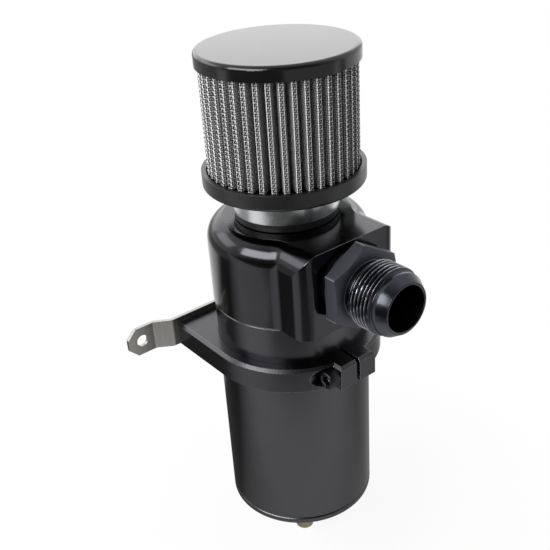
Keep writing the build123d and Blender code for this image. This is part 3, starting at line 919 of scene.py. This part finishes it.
# Wire mesh
# Plain woven aluminium wire, about 1 mm apart, laid over the gauze on the outside and folded with it.
# Upright and cross wires go over and under each other in turn, so every crossing stands up as a bump.
# A wire's section is a low ridge; its third number is how much painted highlight that side takes, and only
# the wire on top at a crossing takes it.
WIRES_A_PLEAT = 16
WIRE_PITCH = 1.09
WIRE_WIDE, WIRE_DEEP = 0.4, 0.18
OFF_SHEET = 0.45
MESH_FOOT, MESH_TOP = 195.8, 247.4
SHOULDER = 0.7
wires_around = PLEATS * WIRES_A_PLEAT
crossings = pleat_loop(wires_around, OFF_SHEET)
mesh_low = BASE_Z + MESH_FOOT * MM
mesh_high = BASE_Z + MESH_TOP * MM
wire_rows = int((mesh_high - mesh_low) / (WIRE_PITCH * MM))
heights = [mesh_low + (row + 0.5) * WIRE_PITCH * MM for row in range(wire_rows)]
# Third number: share of painted highlight, full on the outward top and half on the flanks.
section = ((1, 0, 1.0), (0, 1, 0.5), (0, -1, 0.5))
sides = len(section)
upright_points, upright_faces, upright_highlight = [], [], []
for c, (x, y, nx, ny) in enumerate(crossings):
    first = len(upright_points)
    for row, z in enumerate([mesh_low] + heights + [mesh_high]):
        weave = WIRE_DEEP * (1.0 if (c + row) % 2 else -1.0)
        for out, side, mix_weight in section:
            reach = weave + out * WIRE_DEEP
            across = side * WIRE_WIDE
            upright_highlight.append(mix_weight if weave > 0 else 0.0)
            upright_points.append(stand_up(x + nx * reach - ny * across, y + ny * reach + nx * across, z))
    for row in range(wire_rows + 1):
        a, b = first + sides * row, first + sides * (row + 1)
        for k in range(sides):
            upright_faces.append((a + k, a + (k + 1) % sides, b + (k + 1) % sides, b + k))
    last = len(upright_points) - sides
    upright_faces.append(tuple(range(first, first + sides)))
    upright_faces.append(tuple(range(last, last + sides)))

cross_points, cross_faces, cross_highlight = [], [], []
for row, z in enumerate(heights):
    first = len(cross_points)
    for c, (x, y, nx, ny) in enumerate(crossings):
        weave = WIRE_DEEP * (1.0 if (c + row) % 2 else -1.0)
        for out, up, mix_weight in section:
            reach = weave + out * WIRE_DEEP
            cross_highlight.append(mix_weight if weave > 0 else 0.0)
            cross_points.append(stand_up(x + nx * reach, y + ny * reach, z + up * WIRE_WIDE * MM))
    for c in range(wires_around):
        a, b = first + sides * c, first + sides * ((c + 1) % wires_around)
        for k in range(sides):
            cross_faces.append((a + k, b + k, b + (k + 1) % sides, a + (k + 1) % sides))

# Aluminium wire, oily: dark grey, with a painted white highlight on top of each raised crossing,
# so the eye sees rows of pale dots, and painted shade that dims them below the crests.
wire_with_highlights, tree = start_material("aluminium_wire_oily_painted_highlights")
place = add_node(tree, "ShaderNodeTexCoord", {}, {})
dulled = add_node(
    tree,
    "ShaderNodeTexNoise",
    {},
    {"Vector": place.outputs["Object"], "Scale": 1 / (3 * MM), "Detail": 3.0},
)
highlit = add_node(tree, "ShaderNodeAttribute", {"attribute_name": "highlit"}, {})
highlight_dots = add_node(
    tree, "ShaderNodeMapRange", {}, {"Value": highlit.outputs["Fac"], "From Min": 0.2, "From Max": 0.6}
)
from_axis = add_node(
    tree,
    "ShaderNodeMapping",
    {},
    {"Vector": place.outputs["Object"], "Location": (0, -AXIS_Y, 0), "Scale": (1, 1, 0)},
)
radius = add_node(tree, "ShaderNodeVectorMath", {"operation": "LENGTH"}, {0: from_axis.outputs["Vector"]})
# Painted shade: wires down in the valleys keep only 0.22 of the painted highlight, the crests all of it.
crest_lit_valley_shaded = add_node(
    tree,
    "ShaderNodeMapRange",
    {},
    {
        "Value": radius.outputs["Value"],
        "From Min": (CREST - SHOULDER) * MM,
        "From Max": (CREST + OFF_SHEET) * MM,
        "To Min": 0.22,
        "To Max": 1.0,
    },
)
# Painted highlight: white on top of each raised crossing, dimmed off the crests.
painted_highlight = add_node(
    tree,
    "ShaderNodeMath",
    {"operation": "MULTIPLY"},
    {0: highlight_dots.outputs["Result"], 1: crest_lit_valley_shaded.outputs["Result"]},
)
metal = add_node(
    tree,
    "ShaderNodeMix",
    {"data_type": "RGBA"},
    {0: painted_highlight.outputs[0], 6: linear("2c2c2e"), 7: linear("ffffff")},
)
dulling = add_node(
    tree, "ShaderNodeMapRange", {}, {"Value": dulled.outputs["Fac"], "To Min": 0.4, "To Max": 0.55}
)
shader = add_node(
    tree,
    "ShaderNodeBsdfPrincipled",
    {},
    {"Base Color": metal.outputs[2], "Roughness": dulling.outputs["Result"], "IOR": 1.77},
)
add_node(tree, "ShaderNodeOutputMaterial", {}, {"Surface": shader.outputs["BSDF"]})
uprights = mesh_piece("filter_upright_wires", upright_points, upright_faces, wire_with_highlights, 180)
cross_wires = mesh_piece("filter_cross_wires", cross_points, cross_faces, wire_with_highlights, 180)
for wires, mix_weight in ((uprights, upright_highlight), (cross_wires, cross_highlight)):
    wires.data.attributes.new("highlit", "FLOAT", "POINT").data.foreach_set("value", mix_weight)
    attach(wires, "can")

# Filter support and cap
# A perforated steel tube stands inside the pleats, and a pressed steel cup closes them at the top.
# The cup is stoved satin black; the tube is plain stainless.
dress("filter_support", brushed_stainless)
# Satin black stoving paint on pressed steel: even, dark, with a broad soft shine and a faint orange peel.
satin_paint, tree = start_material("steel_satin_black_paint")
place = add_node(tree, "ShaderNodeTexCoord", {}, {})
peel = add_node(
    tree,
    "ShaderNodeTexNoise",
    {},
    {"Vector": place.outputs["Object"], "Scale": 1 / (1.2 * MM), "Detail": 2.0},
)
cloud = add_node(
    tree,
    "ShaderNodeTexNoise",
    {},
    {"Vector": place.outputs["Object"], "Scale": 1 / (20 * MM), "Detail": 3.0},
)
skin = add_node(
    tree, "ShaderNodeBump", {}, {"Strength": 0.05, "Distance": 0.03 * MM, "Height": peel.outputs["Fac"]}
)
paint = add_node(
    tree,
    "ShaderNodeMix",
    {"data_type": "RGBA"},
    {0: cloud.outputs["Fac"], 6: linear("0c0c0d"), 7: linear("111112")},
)
dulling = add_node(
    tree, "ShaderNodeMapRange", {}, {"Value": cloud.outputs["Fac"], "To Min": 0.12, "To Max": 0.18}
)
shader = add_node(
    tree,
    "ShaderNodeBsdfPrincipled",
    {},
    {
        "Base Color": paint.outputs[2],
        "Roughness": dulling.outputs["Result"],
        "IOR": 1.5,
        "Normal": skin.outputs["Normal"],
    },
)
add_node(tree, "ShaderNodeOutputMaterial", {}, {"Surface": shader.outputs["BSDF"]})
dress("filter_cap", satin_paint)

# Hose clamp
# Zinc plated steel band with slots, a pressed housing and a worm screw with a slotted hex head.
# It squeezes the filter's neck on the head's spigot.
# Bright zinc: bluish silver, nearly a mirror, a little cloudy from the bath.
zinc_plate, tree = start_material("steel_zinc_plated_bright")
place = add_node(tree, "ShaderNodeTexCoord", {}, {})
spangle = add_node(
    tree,
    "ShaderNodeTexNoise",
    {},
    {"Vector": place.outputs["Object"], "Scale": 1 / (4 * MM), "Detail": 4.0},
)
soft_edge = add_node(tree, "ShaderNodeBevel", {"samples": 4}, {"Radius": 0.2 * MM})
plating = add_node(
    tree,
    "ShaderNodeMix",
    {"data_type": "RGBA"},
    {0: spangle.outputs["Fac"], 6: linear("c3c6c8"), 7: linear("dcdede")},
)
dulling = add_node(
    tree, "ShaderNodeMapRange", {}, {"Value": spangle.outputs["Fac"], "To Min": 0.14, "To Max": 0.26}
)
shader = add_node(
    tree,
    "ShaderNodeBsdfPrincipled",
    {},
    {
        "Base Color": plating.outputs[2],
        "Roughness": dulling.outputs["Result"],
        "Metallic": 1.0,
        "Normal": soft_edge.outputs["Normal"],
    },
)
add_node(tree, "ShaderNodeOutputMaterial", {}, {"Surface": shader.outputs["BSDF"]})
for part in ("hose_clamp_band", "hose_clamp_housing", "hose_clamp_screw"):
    dress(part, zinc_plate)

# Studio
# A white floor under the can, soft boxes round it and the camera where the photograph was taken from.
# Places are given to the camera's right, away from it and up, in metres from the foot of the can's axis.
CAMERA_TURN = math.radians(38)
FLOOR_DROP = 0.05
FLOOR_REACH = 6.0
foot = Vector((0, AXIS_Y, BASE_Z))


def studio(right, away, up):
    """A place or direction seen from the camera, turned into the part's own axes."""
    c, s = math.cos(CAMERA_TURN), math.sin(CAMERA_TURN)
    return Vector((right * c + away * s, -right * s + away * c, up))


# Matt white paper: takes the soft shadow and shows as white to the camera.
# To glossy rays it glows with a painted reflection: white in front of the can, on a painted card to the left
# and a painted sweep behind, half as bright to the right, and grey with painted shade where the can, the
# booth and the camera's side would keep light off it.
CARD_EDGE, CARD_ENDS = 0.17, 0.35
RIGHT_EDGE, RIGHT_BRIGHT = -0.12, 0.5
PAPER_ENDS = 0.24
FAR_STARTS, FAR_ENDS, FAR_BRIGHT, FAR_DIM = 0.38, 0.44, 0.26, 0.08
BOOTH_REACH, BOOTH_BRIGHT = 0.45, 0.4
SHADE_STARTS, SHADE_ENDS, SHADE_RIGHT, SHADE_LEFT = -0.02, 0.1, 0.38, 0.08
SWEEP_STARTS, SWEEP_ENDS, SWEEP_REACH, SWEEP_DIM = -0.13, -0.22, 0.45, 0.3
SHADOW_STARTS, SHADOW_ENDS, SHADOW_WHITE = 0.05, 0.2, 0.88
paper, tree = start_material("white_paper_matt")
place = add_node(tree, "ShaderNodeTexCoord", {}, {})
fibre = add_node(
    tree,
    "ShaderNodeTexNoise",
    {},
    {"Vector": place.outputs["Object"], "Scale": 1 / (3 * MM), "Detail": 2.0},
)
pulp = add_node(
    tree,
    "ShaderNodeMix",
    {"data_type": "RGBA"},
    {0: fibre.outputs["Fac"], 6: linear("eeeeee"), 7: linear("f4f4f4")},
)
matt = add_node(tree, "ShaderNodeBsdfDiffuse", {}, {"Color": pulp.outputs[2]})
path = add_node(tree, "ShaderNodeLightPath", {}, {})
to_front = add_node(
    tree,
    "ShaderNodeVectorMath",
    {"operation": "DOT_PRODUCT"},
    {0: place.outputs["Object"], 1: studio(0, -1, 0)},
)
to_left = add_node(
    tree,
    "ShaderNodeVectorMath",
    {"operation": "DOT_PRODUCT"},
    {0: place.outputs["Object"], 1: studio(-1, 0, 0)},
)
shade = add_node(
    tree,
    "ShaderNodeMapRange",
    {},
    {
        "Value": to_left.outputs["Value"],
        "From Min": -0.05,
        "From Max": 0.05,
        "To Min": SHADE_RIGHT,
        "To Max": SHADE_LEFT,
    },
)
beside = add_node(
    tree,
    "ShaderNodeMapRange",
    {},
    {
        "Value": to_front.outputs["Value"],
        "From Min": SHADE_STARTS,
        "From Max": SHADE_ENDS,
        "To Min": shade.outputs["Result"],
        "To Max": 1.0,
    },
)
sweep_side = add_node(
    tree,
    "ShaderNodeMapRange",
    {},
    {
        "Value": to_left.outputs["Value"],
        "From Min": SWEEP_REACH - 0.05,
        "From Max": SWEEP_REACH + 0.05,
        "To Min": 1.0,
        "To Max": SWEEP_DIM,
    },
)
sweep = add_node(
    tree,
    "ShaderNodeMapRange",
    {},
    {
        "Value": to_front.outputs["Value"],
        "From Min": SWEEP_STARTS,
        "From Max": SWEEP_ENDS,
        "To Max": sweep_side.outputs["Result"],
    },
)
far_front = add_node(
    tree,
    "ShaderNodeMapRange",
    {},
    {
        "Value": to_front.outputs["Value"],
        "From Min": FAR_STARTS,
        "From Max": FAR_ENDS,
        "To Min": FAR_BRIGHT,
        "To Max": FAR_DIM,
    },
)
sheet = add_node(
    tree,
    "ShaderNodeMapRange",
    {},
    {
        "Value": to_front.outputs["Value"],
        "From Min": PAPER_ENDS - 0.04,
        "From Max": PAPER_ENDS + 0.04,
        "To Min": 1.0,
        "To Max": far_front.outputs["Result"],
    },
)
card = add_node(
    tree,
    "ShaderNodeMapRange",
    {},
    {"Value": to_left.outputs["Value"], "From Min": CARD_EDGE - 0.02, "From Max": CARD_EDGE + 0.02},
)
card_front = add_node(
    tree,
    "ShaderNodeMapRange",
    {},
    {
        "Value": to_front.outputs["Value"],
        "From Min": CARD_ENDS - 0.01,
        "From Max": CARD_ENDS + 0.01,
        "To Min": card.outputs["Result"],
        "To Max": 0.0,
    },
)
on_right = add_node(
    tree,
    "ShaderNodeMapRange",
    {},
    {
        "Value": to_left.outputs["Value"],
        "From Min": RIGHT_EDGE + 0.02,
        "From Max": RIGHT_EDGE - 0.02,
        "To Max": RIGHT_BRIGHT,
    },
)
from_foot = add_node(tree, "ShaderNodeVectorMath", {"operation": "LENGTH"}, {0: place.outputs["Object"]})
past_booth = add_node(
    tree,
    "ShaderNodeMapRange",
    {},
    {
        "Value": from_foot.outputs["Value"],
        "From Min": BOOTH_REACH - 0.03,
        "From Max": BOOTH_REACH + 0.03,
        "To Max": BOOTH_BRIGHT,
    },
)
behind = add_node(
    tree,
    "ShaderNodeMath",
    {"operation": "MAXIMUM"},
    {0: beside.outputs["Result"], 1: sweep.outputs["Result"]},
)
back_half = add_node(
    tree,
    "ShaderNodeMath",
    {"operation": "MAXIMUM"},
    {0: behind.outputs[0], 1: past_booth.outputs["Result"]},
)
left_half = add_node(
    tree,
    "ShaderNodeMath",
    {"operation": "MAXIMUM"},
    {0: sheet.outputs["Result"], 1: card_front.outputs["Result"]},
)
front_half = add_node(
    tree,
    "ShaderNodeMath",
    {"operation": "MAXIMUM"},
    {0: left_half.outputs[0], 1: on_right.outputs["Result"]},
)
# Painted reflection: the glow that glossy rays see, made of the painted cards, sweep and shade above.
mirrored = add_node(
    tree,
    "ShaderNodeMath",
    {"operation": "MULTIPLY"},
    {0: back_half.outputs[0], 1: front_half.outputs[0]},
)
brightness = add_node(
    tree,
    "ShaderNodeMix",
    {"data_type": "FLOAT"},
    {0: path.outputs["Is Camera Ray"], 2: mirrored.outputs[0], 3: 1.0},
)
whiter = add_node(
    tree,
    "ShaderNodeMapRange",
    {},
    {
        "Value": from_foot.outputs["Value"],
        "From Min": SHADOW_STARTS,
        "From Max": SHADOW_ENDS,
        "To Min": SHADOW_WHITE,
        "To Max": 1.0,
    },
)
share = add_node(
    tree,
    "ShaderNodeMix",
    {"data_type": "FLOAT"},
    {0: path.outputs["Is Camera Ray"], 2: path.outputs["Is Glossy Ray"], 3: whiter.outputs["Result"]},
)
glow = add_node(tree, "ShaderNodeEmission", {}, {"Strength": brightness.outputs[0]})
blend = add_node(
    tree,
    "ShaderNodeMixShader",
    {},
    {0: share.outputs[0], 1: matt.outputs["BSDF"], 2: glow.outputs["Emission"]},
)
add_node(tree, "ShaderNodeOutputMaterial", {}, {"Surface": blend.outputs["Shader"]})
floor_points = [(x * FLOOR_REACH, y * FLOOR_REACH, 0) for x, y in ((-1, -1), (1, -1), (1, 1), (-1, 1))]
floor = mesh_piece("studio_floor", floor_points, [(0, 1, 2, 3)], paper)
floor.location = foot - Vector((0, 0, FLOOR_DROP))

# The room: white behind and beside the can, dark on the camera's side; plain white where the camera sees it.
ROOM_FILL, ROOM_FRONT = 0.35, 0.1
world = bpy.data.worlds.new("studio_room")
bpy.context.scene.world = world
world.use_nodes = True
tree = world.node_tree
tree.nodes.clear()
path = add_node(tree, "ShaderNodeLightPath", {}, {})
outlook = add_node(tree, "ShaderNodeTexCoord", {}, {})
to_front = add_node(
    tree,
    "ShaderNodeVectorMath",
    {"operation": "DOT_PRODUCT"},
    {0: outlook.outputs["Generated"], 1: studio(0, -1, 0)},
)
walls = add_node(
    tree,
    "ShaderNodeMapRange",
    {},
    {
        "Value": to_front.outputs["Value"],
        "From Min": -0.1,
        "From Max": 0.6,
        "To Min": 1.0,
        "To Max": ROOM_FRONT,
    },
)
mirrored = add_node(
    tree,
    "ShaderNodeMix",
    {"data_type": "FLOAT"},
    {0: path.outputs["Is Glossy Ray"], 2: ROOM_FILL, 3: walls.outputs["Result"]},
)
white = add_node(
    tree,
    "ShaderNodeMath",
    {"operation": "MAXIMUM"},
    {0: path.outputs["Is Camera Ray"], 1: path.outputs["Is Transmission Ray"]},
)
strength = add_node(
    tree, "ShaderNodeMix", {"data_type": "FLOAT"}, {0: white.outputs[0], 2: mirrored.outputs[0], 3: 1.0}
)
room = add_node(tree, "ShaderNodeBackground", {}, {"Color": (1, 1, 1, 1), "Strength": strength.outputs[0]})
add_node(tree, "ShaderNodeOutputWorld", {}, {"Surface": room.outputs["Background"]})


def soft_box(name, place, aim, width, height, watts):
    """A flat soft light at a place, turned towards a point on the can's axis."""
    lamp = bpy.data.lights.new(name, "AREA")
    lamp.shape = "RECTANGLE"
    lamp.size = width
    lamp.size_y = height
    lamp.energy = watts
    box = bpy.data.objects.new(name, lamp)
    bpy.context.scene.collection.objects.link(box)
    box.location = foot + studio(*place)
    target = foot + Vector((0, 0, aim))
    box.rotation_euler = (target - box.location).to_track_quat("-Z", "Y").to_euler()


soft_box("soft_box_left", (-0.62, -0.61, 0.68), 0.15, 0.85, 0.55, 11.0)
soft_box("soft_box_back", (-0.2, 1.2, 0.72), 0.2, 2.0, 0.9, 6.5)
soft_box("soft_box_side", (-1.1, 0.4, 0.75), 0.15, 0.8, 0.5, 3.0)

# The camera stands in front and above, and looks down on the can with a slight roll.
# The lens's length is given in pixels of the square picture.
CAMERA_AWAY, CAMERA_UP = -0.382035, 0.347649
FOCAL_PIXELS, PICTURE_PIXELS, SENSOR = 850, 550, 36.0
PITCH_DOWN, YAW, ROLL = 0.50697, -0.02057, -0.06898
level = math.cos(PITCH_DOWN)
ahead = Vector((math.sin(YAW) * level, math.cos(YAW) * level, -math.sin(PITCH_DOWN)))
level_right = Vector((math.cos(YAW), -math.sin(YAW), 0))
level_up = level_right.cross(ahead)
right = math.cos(ROLL) * level_right + math.sin(ROLL) * level_up
up = math.cos(ROLL) * level_up - math.sin(ROLL) * level_right
lens = bpy.data.cameras.new("photo_view")
lens.sensor_width = SENSOR
lens.lens = SENSOR * FOCAL_PIXELS / PICTURE_PIXELS
camera = bpy.data.objects.new("photo_view", lens)
bpy.context.scene.collection.objects.link(camera)
turned = Matrix((studio(*right), studio(*up), -studio(*ahead))).transposed()
camera.matrix_world = Matrix.Translation(foot + studio(0, CAMERA_AWAY, CAMERA_UP)) @ turned.to_4x4()
bpy.context.scene.camera = camera
bpy.context.scene.view_settings.view_transform = "Standard"
